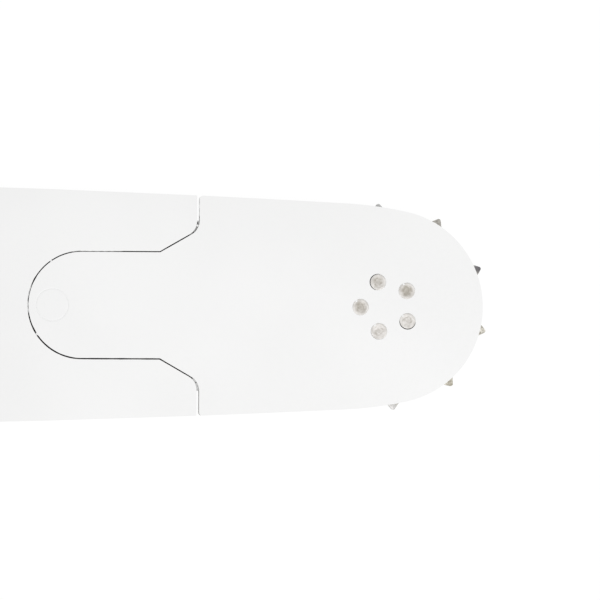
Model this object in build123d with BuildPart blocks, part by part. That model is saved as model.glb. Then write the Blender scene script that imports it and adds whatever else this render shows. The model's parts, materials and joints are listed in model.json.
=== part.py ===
from build123d import *
from math import acos, atan2, cos, degrees, hypot, radians, sin, sqrt, tan
import os

# A chainsaw guide bar with a replaceable sprocket nose, lying flat.
# X runs along the bar from the tail to the nose and Z is its thickness.
# The origin is the middle of the stud slot, on the lower face. Millimetres and degrees.

# Bar
bar_length = 590.0  # tail end to nose tip, without the teeth
bar_thickness = 4.8
groove_width = 1.6  # takes the chain's drive links
groove_depth = 7.0

# Rails
nose_radius = 27.3
nose_relief = 1.0  # how far the nose lies inside the line of the rails
nose_blend_radius = 105.0
front_rail_radius = 4000.0
rear_rail_radius = 12000.0
nose_to_belly = 216.0  # nose centre back to the widest place

# Tail
tail_end_width = 40.0
tail_taper_angle = 10.0
tail_blend_radius = 80.0
tail_corner_radius = 9.0
tail_land_width = 20.0  # solid middle of the tail end, between the two groove mouths
slot_width = 12.2
slot_length = 71.0
slot_from_tail = 24.0
adjuster_hole_diameter = 8.0
adjuster_hole_spacing = 34.0
adjuster_from_tail = 52.0
oil_hole_diameter = 4.0
oil_hole_from_tail = 78.0

# Joint of nose and body
nose_to_shoulder = 52.95
tongue_length = 47.5  # shoulder to the round end
tongue_width = 30.0
flare_length = 10.7  # shoulder to the start of the flare
flare_angle = 30.0
shoulder_fillet = 4.5
seam_gap = 0.3  # along the tongue and the flare
shoulder_gap = 0.75
web_reach = 6.4  # how far the body's web goes on past the shoulder
web_gap = 0.3  # between the web and the spacer
nose_corner_radius = 0.9
body_corner_radius = 0.3

# Sprocket
tooth_count = 10
tooth_projection = 1.75  # past the edge of the nose
tooth_height = 8.2
tooth_width = 3.2
tooth_tip_angle = 76.0
tooth_tip_rounding = 0.6
gullet_radius = 5.5
first_tooth_angle = 94.4
sprocket_side_clearance = 0.05
sprocket_pocket_clearance = 0.7

# Roller bearing
roller_count = 22
roller_diameter = 3.5
roller_gap = 0.1  # between neighbouring rollers
roller_clearance = 0.03  # towards each raceway

# Rivets
bearing_rivet_count = 5
bearing_rivet_diameter = 4.6
bearing_rivet_edge = 3.6  # rivet centres in from the rim of the race
first_bearing_rivet_angle = 181.5
nose_rivet_diameter = 6.0
nose_rivet_head = 9.0
nose_rivet_from_end = 6.75
nose_rivet_countersink = 90.0
rivet_clearance = 0.03

# Places along the bar
tail_x = -slot_from_tail - slot_length / 2
nose_x = tail_x + bar_length - nose_radius
shoulder_x = nose_x - nose_to_shoulder
tongue_end_x = shoulder_x - tongue_length
web_end_x = shoulder_x + web_reach
nose_rivet_x = tongue_end_x + nose_rivet_from_end
belly_x = nose_x - nose_to_belly
adjuster_x = tail_x + adjuster_from_tail
oil_hole_x = tail_x + oil_hole_from_tail

# Heights of the three layers
plate_thickness = (bar_thickness - groove_width) / 2
upper_plate_z = plate_thickness + groove_width

# Bearing and sprocket sizes that follow
roller_circle_radius = (roller_diameter + roller_gap) / (2 * sin(radians(180 / roller_count)))
race_radius = roller_circle_radius - roller_diameter / 2 - roller_clearance
sprocket_bore_radius = roller_circle_radius + roller_diameter / 2 + roller_clearance
rivet_circle_radius = race_radius - bearing_rivet_edge
bearing_rivet_hole_radius = bearing_rivet_diameter / 2 + rivet_clearance
sprocket_thickness = groove_width - 2 * sprocket_side_clearance
sprocket_z = plate_thickness + sprocket_side_clearance
tooth_tip_radius = nose_radius + tooth_projection
tooth_root_radius = tooth_tip_radius - tooth_height
pocket_radius = tooth_tip_radius + sprocket_pocket_clearance

# The front rail's circle holds the nose circle inside it, with the relief between them
nose_to_front_centre = front_rail_radius - nose_radius - nose_relief
front_centre_y = -sqrt(nose_to_front_centre**2 - nose_to_belly**2)
belly_half_width = front_rail_radius + front_centre_y
rear_centre_y = belly_half_width - rear_rail_radius

# The nose blend touches the nose circle and the front rail from inside
blend_to_nose = nose_blend_radius - nose_radius
blend_to_front = front_rail_radius - nose_blend_radius
blend_corner_cos = (blend_to_nose**2 + nose_to_front_centre**2 - blend_to_front**2) / (
    2 * blend_to_nose * nose_to_front_centre
)
front_bearing = degrees(atan2(front_centre_y, -nose_to_belly))
blend_bearing = front_bearing - degrees(acos(blend_corner_cos))
blend_x = nose_x + blend_to_nose * cos(radians(blend_bearing))
blend_y = blend_to_nose * sin(radians(blend_bearing))
nose_arc_half = blend_bearing + 180
front_arc_start = degrees(atan2(blend_y - front_centre_y, blend_x - belly_x))

# The tail blend touches the rear rail and the straight taper of the tail from inside
taper_cos = cos(radians(tail_taper_angle))
taper_sin = sin(radians(tail_taper_angle))
tail_inner_x = tail_x + tail_blend_radius * taper_sin
tail_inner_y = tail_end_width / 2 - tail_blend_radius * taper_cos
along_taper = (tail_inner_x - belly_x) * taper_cos + (tail_inner_y - rear_centre_y) * taper_sin
room_to_rail = (rear_rail_radius - tail_blend_radius) ** 2 - hypot(
    tail_inner_x - belly_x, tail_inner_y - rear_centre_y
) ** 2
taper_length = sqrt(along_taper**2 + room_to_rail) - along_taper
tail_blend_x = tail_inner_x + taper_length * taper_cos
tail_blend_y = tail_inner_y + taper_length * taper_sin
rear_arc_end = degrees(atan2(tail_blend_y - rear_centre_y, tail_blend_x - belly_x))

# Edges of the room that the nose takes in the body
tongue_centre_x = tongue_end_x + tongue_width / 2
room_side = 2 * belly_half_width
room_front_x = nose_x + 2 * nose_radius

os.makedirs("parts", exist_ok=True)


def bar_face(inset):
    """Face of the whole bar, nose included, with its edge moved inwards by a distance."""
    end_x = tail_x + inset
    end_y = tail_end_width / 2 - inset * tan(radians(45 - tail_taper_angle / 2))
    with BuildSketch() as face:
        with BuildLine():
            blend_turn = front_arc_start - nose_arc_half
            CenterArc((blend_x, blend_y), nose_blend_radius - inset, nose_arc_half, blend_turn)
            front_turn = 90 - front_arc_start
            CenterArc((belly_x, front_centre_y), front_rail_radius - inset, front_arc_start, front_turn)
            CenterArc((belly_x, rear_centre_y), rear_rail_radius - inset, 90, rear_arc_end - 90)
            tail_turn = 90 + tail_taper_angle - rear_arc_end
            tail_blend = CenterArc(
                (tail_blend_x, tail_blend_y), tail_blend_radius - inset, rear_arc_end, tail_turn
            )
            Line(tail_blend @ 1, (end_x, end_y))
            mirror(about=Plane.XZ)
            CenterArc((nose_x, 0), nose_radius - inset, -nose_arc_half, 2 * nose_arc_half)
            Line((end_x, -end_y), (end_x, end_y))
        make_face()
    return face.sketch


def nose_room(grow, set_back):
    """Tongue and flare of the nose, grown by a distance, with all in front of its set back shoulders."""
    side_y = tongue_width / 2 + grow
    flare_x = shoulder_x - flare_length - grow * tan(radians(flare_angle / 2))
    corner_x = shoulder_x - set_back
    corner_y = side_y + (corner_x - flare_x) * tan(radians(flare_angle))
    with BuildSketch() as room:
        with BuildLine():
            Polyline(
                (tongue_centre_x, side_y),
                (flare_x, side_y),
                (corner_x, corner_y),
                (corner_x, room_side),
                (room_front_x, room_side),
            )
            mirror(about=Plane.XZ)
            CenterArc((tongue_centre_x, 0), side_y, 90, 180)
            Line((room_front_x, -room_side), (room_front_x, room_side))
        make_face()
        shoulder_corners = room.vertices().sort_by(Axis.X)[4:8].sort_by(Axis.Y)[1:3]
        fillet(shoulder_corners, shoulder_fillet - grow)
    return room.sketch


# Outer faces of the body and of the nose, each half of the gap back from the line between them
with BuildSketch() as bar_outline:
    add(bar_face(0))
    fillet(bar_outline.vertices().sort_by(Axis.X)[0:2], tail_corner_radius)
with BuildSketch() as body_face:
    add(bar_outline.sketch)
    add(nose_room(seam_gap / 2, shoulder_gap / 2), mode=Mode.SUBTRACT)
    body_corners = body_face.vertices().group_by(Axis.X)[-1].sort_by(Axis.Y)
    fillet([body_corners[0], body_corners[-1]], body_corner_radius)
with BuildSketch() as nose_face:
    add(bar_outline.sketch)
    add(nose_room(-seam_gap / 2, -shoulder_gap / 2), mode=Mode.INTERSECT)
    nose_corners = nose_face.vertices().sort_by(Axis.Y)
    fillet([nose_corners[0], nose_corners[-1]], nose_corner_radius)

# What lies between the grooves of the two rails, with the solid middle of the tail end
with BuildSketch() as core_face:
    add(bar_face(groove_depth))
    with Locations((tail_x, 0)):
        Rectangle(2 * groove_depth, tail_land_width, align=(Align.MIN, Align.CENTER))

# Bar body: two rails with the core between them, which goes on as a web under the tongue
with BuildPart() as bar_body:
    with BuildSketch(Plane.XY):
        add(body_face.sketch)
    extrude(amount=plate_thickness)
    with BuildSketch(Plane.XY.offset(plate_thickness)):
        add(core_face.sketch)
        with Locations((web_end_x, 0)):
            Rectangle(2 * bar_length, 2 * room_side, align=(Align.MAX, Align.CENTER), mode=Mode.INTERSECT)
    extrude(amount=groove_width)
    with BuildSketch(Plane.XY.offset(upper_plate_z)):
        add(body_face.sketch)
    extrude(amount=plate_thickness)
    with BuildSketch(Plane.XY):
        SlotOverall(slot_length, slot_width)
        with Locations((adjuster_x, adjuster_hole_spacing / 2), (adjuster_x, -adjuster_hole_spacing / 2)):
            Circle(adjuster_hole_diameter / 2)
        rail_height = rear_centre_y + sqrt(rear_rail_radius**2 - (oil_hole_x - belly_x) ** 2)
        groove_floor_y = rail_height - groove_depth
        with Locations((oil_hole_x, groove_floor_y), (oil_hole_x, -groove_floor_y)):
            Circle(oil_hole_diameter / 2)
        with Locations((nose_rivet_x, 0)):
            Circle(nose_rivet_diameter / 2 + rivet_clearance)
    extrude(amount=bar_thickness, mode=Mode.SUBTRACT)
bar_body.part.label = "bar_body"
export_step(bar_body.part, "parts/bar_body.step")

# Side plates of the nose
with BuildPart() as nose_plate_upper:
    with BuildSketch(Plane.XY.offset(upper_plate_z)):
        add(nose_face.sketch)
    extrude(amount=plate_thickness)
    with BuildSketch(Plane((nose_x, 0, upper_plate_z))):
        with PolarLocations(rivet_circle_radius, bearing_rivet_count, start_angle=first_bearing_rivet_angle):
            Circle(bearing_rivet_hole_radius)
    extrude(amount=plate_thickness, mode=Mode.SUBTRACT)
    with Locations((nose_rivet_x, 0, bar_thickness)):
        CounterSinkHole(
            nose_rivet_diameter / 2 + rivet_clearance,
            nose_rivet_head / 2 + rivet_clearance,
            counter_sink_angle=nose_rivet_countersink,
        )
nose_plate_upper.part.label = "nose_plate_upper"
export_step(nose_plate_upper.part, "parts/nose_plate_upper.step")

with BuildPart() as nose_plate_lower:
    mirror(nose_plate_upper.part, about=Plane.XY.offset(bar_thickness / 2))
nose_plate_lower.part.label = "nose_plate_lower"
export_step(nose_plate_lower.part, "parts/nose_plate_lower.step")

# Spacer between the side plates, from the web of the body to the sprocket's pocket
with BuildPart() as nose_spacer:
    with BuildSketch(Plane.XY.offset(plate_thickness)):
        add(core_face.sketch)
        with Locations((web_end_x + web_gap, 0)):
            Rectangle(bar_length, 2 * room_side, align=(Align.MIN, Align.CENTER), mode=Mode.INTERSECT)
        with Locations((nose_x, 0)):
            Circle(pocket_radius, mode=Mode.SUBTRACT)
    extrude(amount=groove_width)
nose_spacer.part.label = "nose_spacer"
export_step(nose_spacer.part, "parts/nose_spacer.step")

# Sprocket: straight-sided teeth with pointed tips, and round gullets for the drive links
with BuildPart() as nose_sprocket:
    with BuildSketch(Plane((nose_x, 0, sprocket_z))) as sprocket_face:
        tip_half_angle = radians(tooth_tip_angle / 2)
        apex_radius = tooth_tip_radius + tooth_tip_rounding * (1 / sin(tip_half_angle) - 1)
        point_start = apex_radius - tooth_width / 2 / tan(tip_half_angle)
        Circle(tooth_root_radius)
        with PolarLocations(0, tooth_count, start_angle=first_tooth_angle):
            Polygon(
                (0, -tooth_width / 2),
                (point_start, -tooth_width / 2),
                (apex_radius, 0),
                (point_start, tooth_width / 2),
                (0, tooth_width / 2),
                align=None,
            )
        gullet_corners = sprocket_face.vertices().group_by(lambda v: round(hypot(v.X, v.Y), 3))[0]
        fillet(gullet_corners, gullet_radius)
        tooth_tips = sprocket_face.vertices().group_by(lambda v: round(hypot(v.X, v.Y), 3))[-1]
        fillet(tooth_tips, tooth_tip_rounding)
        Circle(sprocket_bore_radius, mode=Mode.SUBTRACT)
    extrude(amount=sprocket_thickness)
nose_sprocket.part.label = "nose_sprocket"
export_step(nose_sprocket.part, "parts/nose_sprocket.step")

# Inner race, clamped between the side plates by the bearing rivets
with BuildPart() as bearing_inner_race:
    with BuildSketch(Plane((nose_x, 0, plate_thickness))):
        Circle(race_radius)
        with PolarLocations(rivet_circle_radius, bearing_rivet_count, start_angle=first_bearing_rivet_angle):
            Circle(bearing_rivet_hole_radius, mode=Mode.SUBTRACT)
    extrude(amount=groove_width)
bearing_inner_race.part.label = "bearing_inner_race"
export_step(bearing_inner_race.part, "parts/bearing_inner_race.step")

# Full row of rollers between the race and the bore of the sprocket
for number in range(1, roller_count + 1):
    roller_plane = Plane((nose_x, 0, sprocket_z)).rotated((0, 0, 360 / roller_count * (number - 1)))
    with BuildPart() as bearing_roller:
        with BuildSketch(roller_plane):
            with Locations((roller_circle_radius, 0)):
                Circle(roller_diameter / 2)
        extrude(amount=sprocket_thickness)
    roller_name = f"bearing_roller_{number:02d}"
    bearing_roller.part.label = roller_name
    export_step(bearing_roller.part, f"parts/{roller_name}.step")

# Rivets: five plain ones through the bearing and a large countersunk one through the tongue
with BuildPart() as bearing_rivets:
    with BuildSketch(Plane((nose_x, 0, 0))):
        with PolarLocations(rivet_circle_radius, bearing_rivet_count, start_angle=first_bearing_rivet_angle):
            Circle(bearing_rivet_diameter / 2)
    extrude(amount=bar_thickness)
bearing_rivets.part.label = "bearing_rivets"
export_step(bearing_rivets.part, "parts/bearing_rivets.step")

with BuildPart() as nose_rivet:
    countersink = (nose_rivet_head - nose_rivet_diameter) / 2 / tan(radians(nose_rivet_countersink / 2))
    with BuildSketch(Plane((nose_rivet_x, 0, 0), x_dir=(1, 0, 0), z_dir=(0, -1, 0))):
        with BuildLine():
            Polyline(
                (0, 0),
                (nose_rivet_head / 2, 0),
                (nose_rivet_diameter / 2, countersink),
                (nose_rivet_diameter / 2, bar_thickness - countersink),
                (nose_rivet_head / 2, bar_thickness),
                (0, bar_thickness),
                close=True,
            )
        make_face()
    revolve(axis=Axis((nose_rivet_x, 0, 0), (0, 0, 1)))
nose_rivet.part.label = "nose_rivet"
export_step(nose_rivet.part, "parts/nose_rivet.step")
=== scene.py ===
import json
import math
import bpy
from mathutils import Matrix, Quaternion, Vector


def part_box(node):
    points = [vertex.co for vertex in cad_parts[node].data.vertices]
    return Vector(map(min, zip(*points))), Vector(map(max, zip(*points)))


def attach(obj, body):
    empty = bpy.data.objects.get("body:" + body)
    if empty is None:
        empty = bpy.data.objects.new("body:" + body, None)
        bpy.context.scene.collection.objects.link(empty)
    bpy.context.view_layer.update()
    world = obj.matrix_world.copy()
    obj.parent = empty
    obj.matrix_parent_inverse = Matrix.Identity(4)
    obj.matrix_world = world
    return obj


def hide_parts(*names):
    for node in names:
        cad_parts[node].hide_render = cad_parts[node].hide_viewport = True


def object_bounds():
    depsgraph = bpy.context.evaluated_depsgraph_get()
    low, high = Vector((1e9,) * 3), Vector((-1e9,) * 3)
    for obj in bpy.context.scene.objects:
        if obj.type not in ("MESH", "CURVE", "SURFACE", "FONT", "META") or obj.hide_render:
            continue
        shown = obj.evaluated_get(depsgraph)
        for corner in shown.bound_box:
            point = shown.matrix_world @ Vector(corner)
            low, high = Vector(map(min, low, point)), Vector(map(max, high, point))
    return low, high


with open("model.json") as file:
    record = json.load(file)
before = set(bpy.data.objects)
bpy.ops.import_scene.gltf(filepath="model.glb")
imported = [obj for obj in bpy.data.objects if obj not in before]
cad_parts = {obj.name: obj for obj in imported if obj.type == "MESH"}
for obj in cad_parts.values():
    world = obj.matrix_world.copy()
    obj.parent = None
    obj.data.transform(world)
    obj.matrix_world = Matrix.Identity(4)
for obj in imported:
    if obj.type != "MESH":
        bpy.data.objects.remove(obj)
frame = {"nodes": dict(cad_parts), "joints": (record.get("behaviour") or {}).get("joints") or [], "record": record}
cad_low, cad_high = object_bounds()

# Looks of a white painted chainsaw guide bar with a sprocket nose. Metres, radians, linear colours.
# X runs along the bar to its nose. The front rail is on the side of negative Y, the rear rail opposite.

# Camera: almost straight above the nose, a little towards the tail
view_width = 0.1683  # stretch of the bar that the picture's width shows
view_target = Vector((0.47884, 0.0017, cad_high.z))
camera_distance = 1.0
lean_to_tail = math.radians(4.5)
lean_to_front = math.radians(1.7)
camera_roll = math.radians(0.25)
sensor_width_mm = 36.0

# Light
world_strength = 0.625
key_place = Vector((0.20, -0.30, 0.95))  # from the middle of the view
key_size = 0.8
key_power = 4.8

# Floor
floor_size = 8.0
floor_gap = 0.00003  # below the lower face of the bar
floor_tone = 0.9  # for the light that the floor throws back at the bar
floor_glow = 0.97  # what the camera sees, without the shade
floor_shade = 0.05  # what the camera sees of the true shade

# Stretches of noise, out of 0 to 1, over which a tone or a size goes from one end to the other
firm_noise = (0.35, 0.65)
soft_noise = (0.3, 0.7)
peel_noise = (0.2, 0.8)
lap_noise = (0.35, 0.75)
joint_noise = (0.45, 0.7)
dish_noise = (0.6, 0.35)

# Joint between the bar's body and its nose, as in the CAD model
seam_half = 0.00015  # half of the gap round the tongue
shoulder_half = 0.000375  # half of the gap at the shoulder
tongue_half = 0.015  # from the axis to the middle of the seam
flare_angle = math.radians(30)
flare_length = 0.0107  # along the bar, from the start of the flare to the shoulder
fillet_length = 0.0022  # along the bar, from where the seam turns to the shoulder
web_reach = 0.0064  # of the body's web past the shoulder

# Paint
paint_tones = ((0.868, 0.868, 0.866), (0.896, 0.896, 0.894))
paint_patch_size = 0.05
paint_roughness = (0.38, 0.46)
orange_peel_size = 0.0011
orange_peel_depth = 0.000004
edge_lap = (0.00004, 0.0003)  # least and most that the paint runs down a wall
edge_lap_length = 0.004
bearing_lap = 0.5  # share of that run in the holes of the bearing rivets
ring_width = 0.0004  # of the line that the paint shows over the edge of the nose rivet
ring_depth = 0.000035
ring_lap = 0.0016  # how far the paint runs down round that rivet
ring_reach = 1.1  # how far out it does so, in radii of the rivet

# Paint inside the joint, where nothing is ground off
joint_lap = (0.0, 0.0018)  # least and most that the paint runs down
joint_lap_length = 0.006
joint_sides = (-0.024, 0.030)  # the joint's reach across the bar
joint_bias = 0.012  # to both sides of the axis; the run grows from the front rail's side
rear_joint_ends = (0.0208, 0.0222)  # across the bar; there the seam widens and paint gets in
front_joint_ends = (-0.0180, -0.0212)  # the same on the side of the front rail
paint_bridges = (  # places where the paint closes the seam
    (0.4030, 0.0),
    (0.4057, -0.0082),
    (0.4102, 0.0134),
    (0.4190, 0.0153),
    (0.4250, 0.0153),
)
bridge_reach = 0.0022
bridge_clear = (0.0003, 0.0008)  # round the same places, where no painted shade lies on the paint

# Grime and painted shade in the joint, and painted shade beside its seam
grime_and_shade_tones = ((0.012, 0.011, 0.01), (0.05, 0.046, 0.042))
grime_and_shade_cloud_size = 0.003
grime_and_shade_roughness = 0.9
grime_and_shade_gloss = 0.1
creep = (0.00002, 0.00006)  # least and most that the painted shade creeps over the paint
creep_length = 0.005
creep_bias = 0.014  # to both sides of the axis; the creep grows towards the front rail
creep_fade = 0.0015  # distance over which it ends near the shoulder
flare_creep = 0.4  # share of the creep along the flares
flare_creep_start = 0.001  # distance over which the flares' share begins
painted_shade_spots = (  # painted shade: dark places at the shoulders, where the gap is deep, and their reach
    (0.45005, 0.0232, 0.00018),
    (0.44978, -0.02155, 0.00012),
)
spot_fade = 1.5  # where a spot ends, in reaches
paint_chips = (  # places beside the seam that have lost their paint; they show the same near-black painted shade
    (0.4044, 0.0073),
    (0.4048, -0.0068),
)
chip_reach = 0.0016
chip_width = 0.00006

# Beads of paint on the walls of the seam, and drops of paint across it
tongue_beads = (  # from and to along the seam, counted from the tongue's end, and width
    (0.0200, 0.0350, 0.00012),
    (-0.0026, 0.0012, 0.00022),
    (0.0012, 0.0058, 0.00015),
    (-0.0091, -0.0083, 0.0006),
    (0.0141, 0.0146, 0.0005),
)
shoulder_beads = ((0.0303, 0.0246, 0.00014),)  # from and to across the bar, and width
bead_steps = 40
bead_end = 0.2  # steps by which a bead ends before it comes to a point
bead_taper = 0.4  # power that makes the ends blunt
bead_wave = 0.0021  # length over which a bead's width comes and goes
bead_swell = 0.25  # share of the width that comes and goes
bead_drops = (0.00002, 0.00009, 0.0005)  # of its two upper edges and of its foot, below the face
paint_plugs = ((0.45, 0.0224),)  # where the drops close the seam
plug_radius = 0.0003
plug_profile = (  # share of the radius, and depth below the face
    (0.3, 0.0001),
    (0.7, 0.00013),
    (0.95, 0.0002),
    (1.0, 0.0003),
    (1.0, 0.0007),
)
plug_segments = 16

# Steel
wall_tones = ((0.40, 0.392, 0.38), (0.53, 0.52, 0.505))
wall_roughness = 0.36
inside_tones = ((0.18, 0.17, 0.16), (0.34, 0.325, 0.305))
inside_roughness = 0.5
spacer_roughness = 0.45
bearing_roughness = 0.25
roughness_spread = 0.08  # to both sides of these
grain_length = 0.012
grain_width = 0.00012
grain_depth = 0.000003
cloud_size = 0.006
grain_share = 0.6  # of the grain in the tones; the rest are clouds
slot_half_length = 0.037  # bounds of the stud slot, with a little room
slot_half_width = 0.0065
bore_room = 1.05  # the same for the bores, in radii
groove_room = 1.02  # the same for the groove, in halves of its width

# Sprocket
sprocket_tones = ((0.20, 0.188, 0.158), (0.415, 0.40, 0.365))
sprocket_roughness = (0.5, 0.36)
sprocket_grain_size = 0.0009
sprocket_grain_depth = 0.000009
sprocket_edge = 0.0002  # rounding of the teeth and of the bore's edges
edge_segments = 2
edge_angle = math.radians(50)  # least turn of an edge that is rounded
# Painted reflection and shade: colours that make single teeth darker or lighter
dark_shade_colour = (0.10, 0.096, 0.10)
brown_shade_colour = (0.153, 0.134, 0.088)
grey_shade_colour = (0.254, 0.254, 0.26)
tooth_highlight_colour = (0.383, 0.379, 0.376)
tooth_tints = (  # teeth painted darker or lighter, as painted reflection and shade: degrees, colour and its share
    (22.4, dark_shade_colour, 1.0),
    (58.4, dark_shade_colour, 0.4),
    (94.4, grey_shade_colour, 0.8),
    (-49.6, brown_shade_colour, 0.45),
    (-85.6, tooth_highlight_colour, 0.85),
)
tint_reach = (0.00384, 0.00192)  # from the tooth's tip: where a tint ends and where it is full
tint_ragged = 0.00192  # how ragged its edge is at most
tint_ragged_size = 0.0012

# Bearing rivets
rivet_count = 5
rivet_radius = 0.0023
rivet_first_angle = math.radians(181.5)
rivet_looks = (  # degrees where the rim stands open, how far, wear, and degrees of a painted highlight: a white glint on the rim
    (0, 0.0, 0.74, 125),
    (223, 0.00004, 0.19, 124),
    (-97, 0.00024, 0.19, 132),
    (149, 0.00002, 1.0, 116),
    (169, 0.00022, 0.45, None),
)
rivet_profile = (  # radius, and height from the face
    (0.0003, -0.00004),
    (0.0007, -0.000036),
    (0.0011, -0.000025),
    (0.0015, -0.00001),
    (0.0018, 0.0),
    (0.0021, -0.000002),
    (0.00228, -0.00001),
    (0.00232, -0.00003),
    (0.002325, -0.0003),
    (0.0023, -0.0009),
)
rivet_segments = 72
open_depth = 0.0007  # how deep a rim stands open
open_spread = 0.6  # power that makes an opening more even along the rim
open_rim = 4  # power that keeps an opening to the rim
rivet_tones = ((0.487, 0.472, 0.455), (0.305, 0.285, 0.252))  # bright rim and worn middle
rivet_roughness = (0.6, 0.5)
rivet_face_drop = 0.0001  # how far a rivet's ends lie inside the faces at most
worn_reach = (1.02, 0.33)  # in radii: where the wear of the middle starts and where it is full
mark_width = 0.0007  # of the tool marks, which run round the middle
mark_turn = 0.9  # radians that a mark runs round the middle
mark_start = 0.0012  # inside this radius the marks turn into blotches
mark_contrast = 0.2
mark_depth = 0.000006
mark_shift = 10.0  # in the noise, from one rivet's marks to the next one's
dish_place = 0.45  # of an uneven darker ring inside the rim, in radii
dish_reach = 0.22
dish_contrast = 0.3
# Painted highlight: a small white glint on the rim of a rivet, drawn with the paint
glint_radius = 0.00055
glint_ragged = 0.0004  # how far its edge falls short of that at most
glint_ragged_size = 0.0005
glint_place = 0.0021  # from the middle of the rivet
glint_core = 0.85  # share of the painted highlight's radius that is all paint
rim_paint = (0.00225, 0.00229)  # radius where paint is left on the rim, and where it is whole

# Places and sizes that follow from the frame
face_z = cad_high.z
mid_z = face_z / 2
groove_half = mid_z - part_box("nose_spacer")[0].z
nose_centre = Vector(frame["joints"][0]["pos_m"])
nose_foot = Vector((nose_centre.x, nose_centre.y, 0))
tooth_tip_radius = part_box("nose_sprocket")[1].y
rivet_reach = nose_centre.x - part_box("bearing_rivets")[0].x - rivet_radius
rivet_circle = rivet_reach / abs(math.cos(rivet_first_angle))
bearing_reach = rivet_circle + 2 * rivet_radius
nose_rivet_low, nose_rivet_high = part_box("nose_rivet")
nose_rivet_centre = (nose_rivet_low + nose_rivet_high) / 2
nose_rivet_radius = (nose_rivet_high.x - nose_rivet_low.x) / 2
joint_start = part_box("nose_plate_upper")[0].x
joint_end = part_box("bar_body")[1].x
tongue_centre_x = joint_start + tongue_half - seam_half
shoulder_x = joint_end - web_reach
flare_x = shoulder_x - flare_length
seam_end_x = shoulder_x - fillet_length
bores = [mount for mount in frame["record"]["mounts"] if mount["kind"] == "bore"]
lengthwise_grain = (grain_length, grain_length, grain_width)
upright_grain = (grain_width, grain_width, grain_length)


def turned(radius, angle, height=0.0):
    """The point at an angle round the upright axis through the origin."""
    return Vector((radius * math.cos(angle), radius * math.sin(angle), height))


class Sheet:
    """The node tree of a material or the world, with short calls to add nodes and links."""

    def __init__(self, owner):
        owner.use_nodes = True
        self.owner = owner
        self.tree = owner.node_tree
        self.tree.nodes.clear()

    def add(self, kind, settings=None, **inputs):
        """Adds a node; an input is named by its label, or _0, _1 and so on by its place."""
        node = self.tree.nodes.new("ShaderNode" + kind)
        for key, value in (settings or {}).items():
            setattr(node, key, value)
        for key, value in inputs.items():
            name = int(key[1:]) if key[1:].isdigit() else key.replace("_", " ")
            if isinstance(value, bpy.types.NodeSocket):
                self.tree.links.new(value, node.inputs[name])
            else:
                node.inputs[name].default_value = value
        return node

    def place(self):
        """The place on the piece, in metres."""
        return self.add("TexCoord").outputs["Object"]

    def math(self, operation, first, second=0.0):
        return self.add("Math", {"operation": operation}, _0=first, _1=second).outputs[0]

    def vector(self, operation, first, second=(0, 0, 0)):
        """A vector operation; a length or a distance comes out as a number."""
        node = self.add("VectorMath", {"operation": operation}, _0=first, _1=second)
        return node.outputs["Value" if operation in ("LENGTH", "DISTANCE") else "Vector"]

    def ramp(self, value, start, end, low=0.0, high=1.0):
        """Goes smoothly from low to high while a value goes from start to end."""
        node = self.add(
            "MapRange",
            {"interpolation_type": "SMOOTHSTEP"},
            Value=value,
            From_Min=start,
            From_Max=end,
            To_Min=low,
            To_Max=high,
        )
        return node.outputs[0]

    def blend(self, share, colours):
        """Mixes two colours by a share from 0 to 1."""
        node = self.add("Mix", {"data_type": "RGBA"}, _0=share)
        for socket, colour in zip((node.inputs[6], node.inputs[7]), colours):
            if isinstance(colour, bpy.types.NodeSocket):
                self.tree.links.new(colour, socket)
            else:
                socket.default_value = (*colour, 1.0)
        return node.outputs[2]

    def layer(self, share, under, over):
        """Lays one shader over another by a share from 0 to 1."""
        return self.add("MixShader", _0=share, _1=under.outputs[0], _2=over.outputs[0])

    def noise(self, place, size, detail=3.0, roughness=0.5):
        """Noise from 0 to 1, with features of about a given size."""
        node = self.add("TexNoise", Vector=place, Scale=1 / size, Detail=detail, Roughness=roughness)
        return node.outputs["Fac"]

    def bump(self, height, depth):
        """Makes a height from 0 to 1 that many metres deep."""
        return self.add("Bump", Height=height, Distance=depth, Strength=1.0).outputs[0]

    def apart(self, place, centre):
        """Distance from the upright axis through a centre."""
        flat = self.vector("MULTIPLY", place, (1, 1, 0))
        return self.vector("DISTANCE", flat, (centre[0], centre[1], 0))

    def within(self, value, low, high):
        """1 where a value lies between two others, and 0 elsewhere."""
        above = self.math("GREATER_THAN", value, low)
        return self.math("MULTIPLY", above, self.math("LESS_THAN", value, high))

    def seen(self):
        """1 for what the camera sees, also in reflections and through glass, and 0 for other light."""
        path = self.add("LightPath")
        seen = path.outputs["Is Camera Ray"]
        for ray in ("Is Glossy Ray", "Is Transmission Ray"):
            seen = self.math("MAXIMUM", seen, path.outputs[ray])
        return seen

    def finish(self, shader):
        self.add("OutputMaterial", Surface=shader.outputs[0])
        return self.owner


def new_sheet(name):
    return Sheet(bpy.data.materials.new(name))


def add_paint(sheet, place):
    """White enamel with a faint orange peel, and a faint line where it covers the nose rivet's edge."""
    patches = sheet.noise(place, paint_patch_size, detail=2.0)
    peel = sheet.noise(place, orange_peel_size, detail=1.0)
    from_edge = sheet.math("SUBTRACT", sheet.apart(place, nose_rivet_centre), nose_rivet_radius)
    line = sheet.ramp(sheet.math("ABSOLUTE", from_edge), 0.0, ring_width)
    height = sheet.math("ADD", sheet.math("MULTIPLY", peel, orange_peel_depth / ring_depth), line)
    return sheet.add(
        "BsdfPrincipled",
        Base_Color=sheet.blend(sheet.ramp(patches, *soft_noise), paint_tones),
        Roughness=sheet.ramp(peel, *peel_noise, *paint_roughness),
        Normal=sheet.bump(height, ring_depth),
    )


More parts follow.
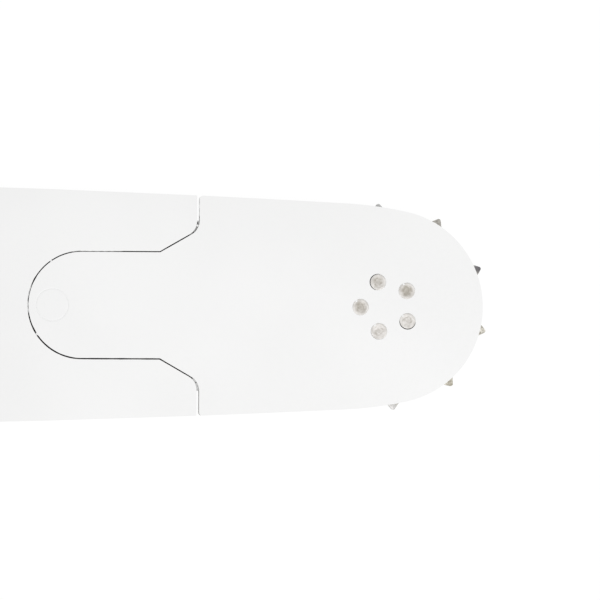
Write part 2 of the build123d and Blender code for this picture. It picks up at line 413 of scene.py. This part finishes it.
def add_steel(sheet, place, tones, grain, roughness):
    """Steel with fine lines that run along one direction, given by the grain's lengths."""
    scale = tuple(1 / length for length in grain)
    lines = sheet.noise(sheet.vector("MULTIPLY", place, scale), 1.0, detail=4.0, roughness=0.6)
    clouds = sheet.noise(place, cloud_size, detail=3.0)
    lines_part = sheet.math("MULTIPLY", lines, grain_share)
    share = sheet.math("ADD", lines_part, sheet.math("MULTIPLY", clouds, 1 - grain_share))
    dull = roughness + roughness_spread
    bright = roughness - roughness_spread
    return sheet.add(
        "BsdfPrincipled",
        Base_Color=sheet.blend(sheet.ramp(share, *firm_noise), tones),
        Metallic=1.0,
        Roughness=sheet.ramp(share, *soft_noise, dull, bright),
        Normal=sheet.bump(lines, grain_depth),
    )


def add_grime_and_shade(sheet, place):
    """Dull near-black for grime and painted shade, in the joint, in the bearing rivets' holes and beside the seam.
    """
    clouds = sheet.noise(place, grime_and_shade_cloud_size, detail=4.0)
    return sheet.add(
        "BsdfPrincipled",
        Base_Color=sheet.blend(sheet.ramp(clouds, *firm_noise), grime_and_shade_tones),
        Roughness=grime_and_shade_roughness,
        Specular_IOR_Level=grime_and_shade_gloss,
    )


def from_seam(sheet, axes):
    """Distance from the line of the seam round the tongue and along its flares."""
    from_axis = sheet.math("ABSOLUTE", axes.outputs["Y"])
    behind = sheet.math("SUBTRACT", axes.outputs["X"], tongue_centre_x)
    flat = sheet.add("CombineXYZ", X=sheet.math("MINIMUM", behind, 0.0), Y=from_axis).outputs[0]
    to_tongue = sheet.math("SUBTRACT", sheet.vector("LENGTH", flat), tongue_half)
    across = sheet.math("SUBTRACT", from_axis, tongue_half)
    along = sheet.math("SUBTRACT", axes.outputs["X"], flare_x)
    across_part = sheet.math("MULTIPLY", across, math.cos(flare_angle))
    along_part = sheet.math("MULTIPLY", along, math.sin(flare_angle))
    to_flare = sheet.math("SUBTRACT", across_part, along_part)
    return sheet.math("ABSOLUTE", sheet.math("MINIMUM", to_tongue, to_flare))


def joint_run(sheet, place, axes):
    """How far paint runs down the walls of the joint."""
    runs = sheet.noise(place, joint_lap_length, detail=4.0, roughness=0.65)
    share = sheet.ramp(axes.outputs["Y"], -joint_bias, joint_bias)
    run = sheet.math("MULTIPLY", sheet.ramp(runs, *joint_noise, *joint_lap), share)
    for ends in (rear_joint_ends, front_joint_ends):
        run = sheet.math("ADD", run, sheet.ramp(axes.outputs["Y"], *ends, *joint_lap))
    for bridge in paint_bridges:
        closed = sheet.ramp(sheet.apart(place, bridge), bridge_reach, 0.0, *joint_lap)
        run = sheet.math("ADD", run, closed)
    for x, y, reach in painted_shade_spots:
        clear = sheet.ramp(sheet.apart(place, (x, y)), reach, reach * spot_fade)
        run = sheet.math("MULTIPLY", run, clear)
    return run


def seam_shade_creep(sheet, place, axes):
    """How far a band of painted shade, wider at chips, takes the paint's place beside the seam."""
    clouds = sheet.noise(place, creep_length, detail=4.0, roughness=0.6)
    share = sheet.ramp(axes.outputs["Y"], creep_bias, -creep_bias)
    from_axis = sheet.math("ABSOLUTE", axes.outputs["Y"])
    flare_start = tongue_half + flare_creep_start
    share = sheet.ramp(from_axis, tongue_half, flare_start, share, flare_creep)
    crept = sheet.math("MULTIPLY", sheet.ramp(clouds, *firm_noise, *creep), share)
    to_end = sheet.ramp(axes.outputs["X"], seam_end_x, seam_end_x - creep_fade)
    crept = sheet.math("MULTIPLY", crept, to_end)
    for chip in paint_chips:
        lost = sheet.ramp(sheet.apart(place, chip), chip_reach, 0.0, 0.0, chip_width)
        crept = sheet.math("ADD", crept, lost)
    for bridge in paint_bridges:
        clear = sheet.ramp(sheet.apart(place, bridge), *bridge_clear)
        crept = sheet.math("MULTIPLY", crept, clear)
    return crept


def ground_walls(sheet, place, axes, from_middle):
    """1 on the walls beside the groove and in the slot and the bores, which are ground bright."""
    ground = sheet.math("GREATER_THAN", from_middle, groove_half * groove_room)
    in_length = sheet.within(axes.outputs["X"], -slot_half_length, slot_half_length)
    in_width = sheet.within(axes.outputs["Y"], -slot_half_width, slot_half_width)
    ground = sheet.math("MAXIMUM", ground, sheet.math("MULTIPLY", in_length, in_width))
    for bore in bores:
        reach = bore["dims"]["r_mm"] / 1000 * bore_room
        in_bore = sheet.math("LESS_THAN", sheet.apart(place, bore["pos_m"]), reach)
        ground = sheet.math("MAXIMUM", ground, in_bore)
    return ground


def paint_over_steel():
    """Paint on the outer faces, ground steel on the walls, dark steel in the groove, grime and painted shade in
    the joint and round the bearing rivets.
    """
    sheet = new_sheet("white_paint")
    place = sheet.place()
    axes = sheet.add("SeparateXYZ", Vector=place)
    from_middle = sheet.math("ABSOLUTE", sheet.math("SUBTRACT", axes.outputs["Z"], mid_z))
    near_bearing = sheet.math("LESS_THAN", sheet.apart(place, nose_centre), bearing_reach)
    from_rivet = sheet.apart(place, nose_rivet_centre)
    near_rivet = sheet.math("LESS_THAN", from_rivet, nose_rivet_radius * ring_reach)
    in_joint = sheet.within(axes.outputs["X"], joint_start - joint_lap_length, joint_end)
    in_joint = sheet.math("MULTIPLY", in_joint, sheet.within(axes.outputs["Y"], *joint_sides))

    lap = sheet.ramp(sheet.noise(place, edge_lap_length, detail=3.0), *lap_noise, *edge_lap)
    lap = sheet.math("MULTIPLY", lap, sheet.ramp(near_bearing, 0.0, 1.0, 1.0, bearing_lap))
    lap = sheet.math("ADD", lap, sheet.math("MULTIPLY", joint_run(sheet, place, axes), in_joint))
    lap = sheet.math("ADD", lap, sheet.math("MULTIPLY", near_rivet, ring_lap))
    painted = sheet.math("GREATER_THAN", from_middle, sheet.math("SUBTRACT", mid_z, lap))
    crept = sheet.math("ADD", seam_shade_creep(sheet, place, axes), seam_half)
    clean = sheet.math("GREATER_THAN", from_seam(sheet, axes), crept)
    past_seam = sheet.math("GREATER_THAN", axes.outputs["X"], seam_end_x)
    painted = sheet.math("MULTIPLY", painted, sheet.math("MAXIMUM", clean, past_seam))

    # Painted shade: the near-black grime-and-shade finish covers the unpainted steel in the joint and round the
    # bearing rivets
    shaded_zone = sheet.math("MAXIMUM", in_joint, near_bearing)
    ground = ground_walls(sheet, place, axes, from_middle)
    outside = sheet.math("SUBTRACT", ground, shaded_zone)
    wall = add_steel(sheet, place, wall_tones, lengthwise_grain, wall_roughness)
    inside = add_steel(sheet, place, inside_tones, lengthwise_grain, inside_roughness)
    inner = sheet.layer(shaded_zone, inside, add_grime_and_shade(sheet, place))
    steel = sheet.layer(outside, inner, wall)
    return sheet.finish(sheet.layer(painted, steel, add_paint(sheet, place)))


def plain_paint():
    """Paint all over, for the beads and drops in the seam."""
    sheet = new_sheet("seam_paint")
    return sheet.finish(add_paint(sheet, sheet.place()))


def plain_steel(name, tones, grain, roughness):
    sheet = new_sheet(name)
    return sheet.finish(add_steel(sheet, sheet.place(), tones, grain, roughness))


def sprocket_steel():
    """Hardened steel, warm grey, with some teeth painted darker or lighter as painted reflection and shade."""
    sheet = new_sheet("sprocket_steel")
    place = sheet.place()
    ragged = sheet.math("MULTIPLY", sheet.noise(place, tint_ragged_size), tint_ragged)
    grain = sheet.noise(place, sprocket_grain_size, detail=4.0, roughness=0.65)
    colour = sheet.blend(sheet.ramp(grain, *soft_noise), sprocket_tones)
    for degrees, tint, share in tooth_tints:
        tip = nose_centre + turned(tooth_tip_radius, math.radians(degrees))
        from_tip = sheet.math("ADD", sheet.apart(place, tip), ragged)
        colour = sheet.blend(sheet.ramp(from_tip, *tint_reach, 0.0, share), (colour, tint))
    steel = sheet.add(
        "BsdfPrincipled",
        Base_Color=colour,
        Metallic=1.0,
        Roughness=sheet.ramp(grain, *soft_noise, *sprocket_roughness),
        Normal=sheet.bump(grain, sprocket_grain_depth),
    )
    return sheet.finish(steel)


def add_peened_steel(sheet, place, number, wear):
    """Steel with soft tool marks that run round the middle, which is worn to a browner grey."""
    flat = sheet.vector("MULTIPLY", place, (1, 1, 0))
    radius = sheet.vector("LENGTH", flat)
    turn_scale = sheet.ramp(radius, 0.0, mark_start, 0.0, 1 / mark_turn)
    way = sheet.vector("NORMALIZE", flat)
    around = sheet.add("VectorMath", {"operation": "SCALE"}, _0=way, _3=turn_scale).outputs[0]
    outward = sheet.math("DIVIDE", radius, mark_width)
    shift = sheet.add("CombineXYZ", X=number * mark_shift, Z=outward).outputs[0]
    marks = sheet.noise(sheet.vector("ADD", around, shift), 1.0, detail=3.0, roughness=0.55)

    worn_start, worn_full = (share * rivet_radius for share in worn_reach)
    shade = sheet.ramp(radius, worn_start, worn_full, 0.0, wear)
    marked = sheet.ramp(marks, *soft_noise, mark_contrast, -mark_contrast)
    shade = sheet.math("ADD", shade, marked)
    from_dish = sheet.math("SUBTRACT", radius, rivet_radius * dish_place)
    dish = sheet.ramp(sheet.math("ABSOLUTE", from_dish), rivet_radius * dish_reach, 0.0)
    dish = sheet.math("MULTIPLY", dish, sheet.ramp(marks, *dish_noise))
    shade = sheet.math("ADD", shade, sheet.math("MULTIPLY", dish, dish_contrast))
    return sheet.add(
        "BsdfPrincipled",
        Base_Color=sheet.blend(shade, rivet_tones),
        Metallic=1.0,
        Roughness=sheet.ramp(marks, *soft_noise, *rivet_roughness),
        Normal=sheet.bump(marks, mark_depth),
    )


def rivet_steel(number, wear, glint_angle):
    """Peened ends, grime and painted shade on the sides in the hole, what paint is left on the rim, and a painted
    highlight on the rim: a white glint drawn with the paint.
    """
    sheet = new_sheet(f"rivet_steel_{number}")
    place = sheet.place()
    height = sheet.add("SeparateXYZ", Vector=place).outputs["Z"]
    in_hole = sheet.within(height, rivet_face_drop, face_z - rivet_face_drop)
    ends = add_peened_steel(sheet, place, number, wear)
    # Painted shade with grime on the rivet's sides inside the hole
    steel = sheet.layer(in_hole, ends, add_grime_and_shade(sheet, place))
    on_rim = sheet.ramp(sheet.apart(place, (0, 0)), *rim_paint)
    painted = sheet.math("MULTIPLY", on_rim, sheet.math("SUBTRACT", 1.0, in_hole))
    if glint_angle is not None:
        glint = turned(glint_place, math.radians(glint_angle))
        ragged = sheet.math("MULTIPLY", sheet.noise(place, glint_ragged_size), glint_ragged)
        from_glint = sheet.math("ADD", sheet.apart(place, glint), ragged)
        on_glint = sheet.ramp(from_glint, glint_radius, glint_radius * glint_core)
        painted = sheet.math("MAXIMUM", painted, on_glint)
    return sheet.finish(sheet.layer(painted, steel, add_paint(sheet, place)))


def floor_white():
    """White to the eye and in reflections, with a little of the true shade left in it."""
    sheet = new_sheet("floor_white")
    matt = sheet.add("BsdfDiffuse", Color=(floor_tone, floor_tone, floor_tone, 1.0))
    shade = sheet.add("BsdfDiffuse", Color=(floor_shade, floor_shade, floor_shade, 1.0))
    glow = sheet.add("Emission", Strength=floor_glow)
    shown = sheet.add("AddShader", _0=shade.outputs[0], _1=glow.outputs[0])
    return sheet.finish(sheet.layer(sheet.seen(), matt, shown))


def dress(node_name, material):
    """Gives a node of the frame its finish."""
    slots = frame["nodes"][node_name].data.materials
    slots.clear()
    slots.append(material)


def round_edges(node_name, width):
    """Rounds the sharp edges of a node of the frame."""
    bevel = frame["nodes"][node_name].modifiers.new("rounded_edges", "BEVEL")
    bevel.width = width
    bevel.segments = edge_segments
    bevel.limit_method = "ANGLE"
    bevel.angle_limit = edge_angle


def show(name, mesh, material):
    """Puts a mesh into the scene as an object with a finish."""
    mesh.materials.append(material)
    piece = bpy.data.objects.new(name, mesh)
    bpy.context.scene.collection.objects.link(piece)
    return piece


def loft(name, rings, material):
    """A closed piece through rings that have the same number of points."""
    count = len(rings[0])
    points = [point for ring in rings for point in ring]
    faces = [range(count)]
    for first in range(0, len(points) - count, count):
        for step in range(count):
            here = first + step
            beside = first + (step + 1) % count
            faces.append((here, here + count, beside + count, beside))
    last = len(points) - 1
    faces.append(range(last, last - count, -1))
    mesh = bpy.data.meshes.new(name)
    mesh.from_pydata(points, [], faces)
    mesh.validate()
    return show(name, mesh, material)


def make_rivet(number):
    """A bearing rivet with peened ends; part of its rim stands off the edge of its hole."""
    open_angle, opening, wear, glint_angle = rivet_looks[number]
    levels = [(radius, drop, face_z + drop) for radius, drop in rivet_profile]
    levels += [(radius, drop, -drop) for radius, drop in reversed(rivet_profile)]
    rings = []
    for radius, drop, height in levels:
        near_face = max(0.0, 1 + drop / open_depth)
        near_rim = (radius / rivet_radius) ** open_rim
        ring = []
        for step in range(rivet_segments):
            turn = step * math.tau / rivet_segments
            facing = max(0.0, math.cos(turn - math.radians(open_angle))) ** open_spread
            reach = radius - opening * facing * near_rim * near_face
            ring.append(turned(reach, turn, height))
        rings.append(ring)
    steel = rivet_steel(number + 1, wear, glint_angle)
    rivet = loft(f"bearing_rivet_{number + 1}", rings, steel)
    rivet.data.shade_smooth()
    angle = rivet_first_angle + number * math.tau / rivet_count
    rivet.location = nose_foot + turned(rivet_circle, angle)
    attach(rivet, "bar")
    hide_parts("bearing_rivets")


def tongue_wall(along):
    """A point of the seam's outer wall, by its distance from the tongue's end, and the way inward."""
    quarter = tongue_half * math.pi / 2
    past = max(0.0, abs(along) - quarter)
    turn = math.pi - math.copysign(min(abs(along), quarter), along) / tongue_half
    outward = turned(1.0, turn)
    centre = Vector((tongue_centre_x + past, 0, 0))
    return centre + (tongue_half + seam_half) * outward, -outward


def shoulder_wall(across):
    """A point of the nose's wall at the shoulder, by its place across the bar, and the way inward."""
    return Vector((shoulder_x + shoulder_half, across, 0)), Vector((-1, 0, 0))


def make_bead(number, wall, start, end, width, material):
    """A bead of paint along a wall of the seam."""
    outer_drop, inner_drop, foot_drop = bead_drops
    sections = []
    for step in range(bead_steps + 1):
        along = start + step / bead_steps * (end - start)
        outer, inward = wall(along)
        taper = math.sin(math.pi * (step + bead_end) / (bead_steps + 2 * bead_end)) ** bead_taper
        wave = 1 + bead_swell * math.sin(math.tau * along / bead_wave)
        inner = outer + min(2 * seam_half, width * taper * wave) * inward
        section = [
            (inner.x, inner.y, face_z - inner_drop),
            (outer.x, outer.y, face_z - outer_drop),
            (outer.x, outer.y, face_z - foot_drop),
            (inner.x, inner.y, face_z - foot_drop),
        ]
        sections.append(section)
    bead = loft(f"seam_paint_{number + 1}", sections, material)
    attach(bead, "bar")


def make_plug(number, x, y, material):
    """A flat drop of paint across the seam."""
    foot = Vector((x, y, 0))
    rings = []
    for share, drop in plug_profile:
        ring = []
        for step in range(plug_segments):
            turn = step * math.tau / plug_segments
            ring.append(foot + turned(share * plug_radius, turn, face_z - drop))
        rings.append(ring)
    plug = loft(f"seam_paint_{number + 1}", rings, material)
    plug.data.shade_smooth()
    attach(plug, "bar")


def make_floor():
    """A wide white floor just below the bar."""
    half = floor_size / 2
    mesh = bpy.data.meshes.new("floor")
    corners = [(-half, -half, 0), (half, -half, 0), (half, half, 0), (-half, half, 0)]
    mesh.from_pydata(corners, [], [(0, 1, 2, 3)])
    floor = show("floor", mesh, floor_white())
    floor.location = ((cad_low.x + cad_high.x) / 2, 0, cad_low.z - floor_gap)


def make_world():
    """An even white room, at full white where it is looked at."""
    world = bpy.data.worlds.new("studio")
    bpy.context.scene.world = world
    sheet = Sheet(world)
    strength = sheet.ramp(sheet.seen(), 0.0, 1.0, world_strength, 1.0)
    room = sheet.add("Background", Color=(1.0, 1.0, 1.0, 1.0), Strength=strength)
    sheet.add("OutputWorld", Surface=room.outputs[0])


def make_lamp(name, place, size, power):
    """A square softbox that faces the middle of the view."""
    data = bpy.data.lights.new(name, "AREA")
    data.shape = "SQUARE"
    data.size = size
    data.energy = power
    lamp = bpy.data.objects.new(name, data)
    lamp.location = view_target + place
    lamp.rotation_mode = "QUATERNION"
    lamp.rotation_quaternion = (-place).to_track_quat("-Z", "Y")
    lamp.visible_camera = False
    bpy.context.scene.collection.objects.link(lamp)


def make_camera():
    """A camera at the photograph's viewing angle."""
    data = bpy.data.cameras.new("camera")
    data.sensor_width = sensor_width_mm
    data.lens = sensor_width_mm * camera_distance / view_width
    camera = bpy.data.objects.new("camera", data)
    back = Vector((-math.tan(lean_to_tail), -math.tan(lean_to_front), 1)).normalized()
    camera.location = view_target + back * camera_distance
    camera.rotation_mode = "QUATERNION"
    tilt = Vector((0, 0, 1)).rotation_difference(back)
    camera.rotation_quaternion = tilt @ Quaternion((0, 0, 1), camera_roll)
    bpy.context.scene.collection.objects.link(camera)
    bpy.context.scene.camera = camera


bar_paint = paint_over_steel()
for name in ("bar_body", "nose_plate_upper", "nose_plate_lower", "nose_rivet"):
    dress(name, bar_paint)
bearing_steel = plain_steel("bearing_steel", wall_tones, upright_grain, bearing_roughness)
for name in frame["nodes"]:
    if name.startswith("bearing_roller") or name == "bearing_inner_race":
        dress(name, bearing_steel)
spacer_steel = plain_steel("spacer_steel", inside_tones, lengthwise_grain, spacer_roughness)
dress("nose_spacer", spacer_steel)
dress("nose_sprocket", sprocket_steel())
round_edges("nose_sprocket", sprocket_edge)

for number in range(rivet_count):
    make_rivet(number)
seam_paint = plain_paint()
beads = [(tongue_wall, *bead) for bead in tongue_beads]
beads += [(shoulder_wall, *bead) for bead in shoulder_beads]
for number, bead in enumerate(beads):
    make_bead(number, *bead, seam_paint)
for number, place in enumerate(paint_plugs, start=len(beads)):
    make_plug(number, *place, seam_paint)

make_floor()
make_world()
make_lamp("key_softbox", key_place, key_size, key_power)
make_camera()
bpy.context.scene.view_settings.view_transform = "Standard"
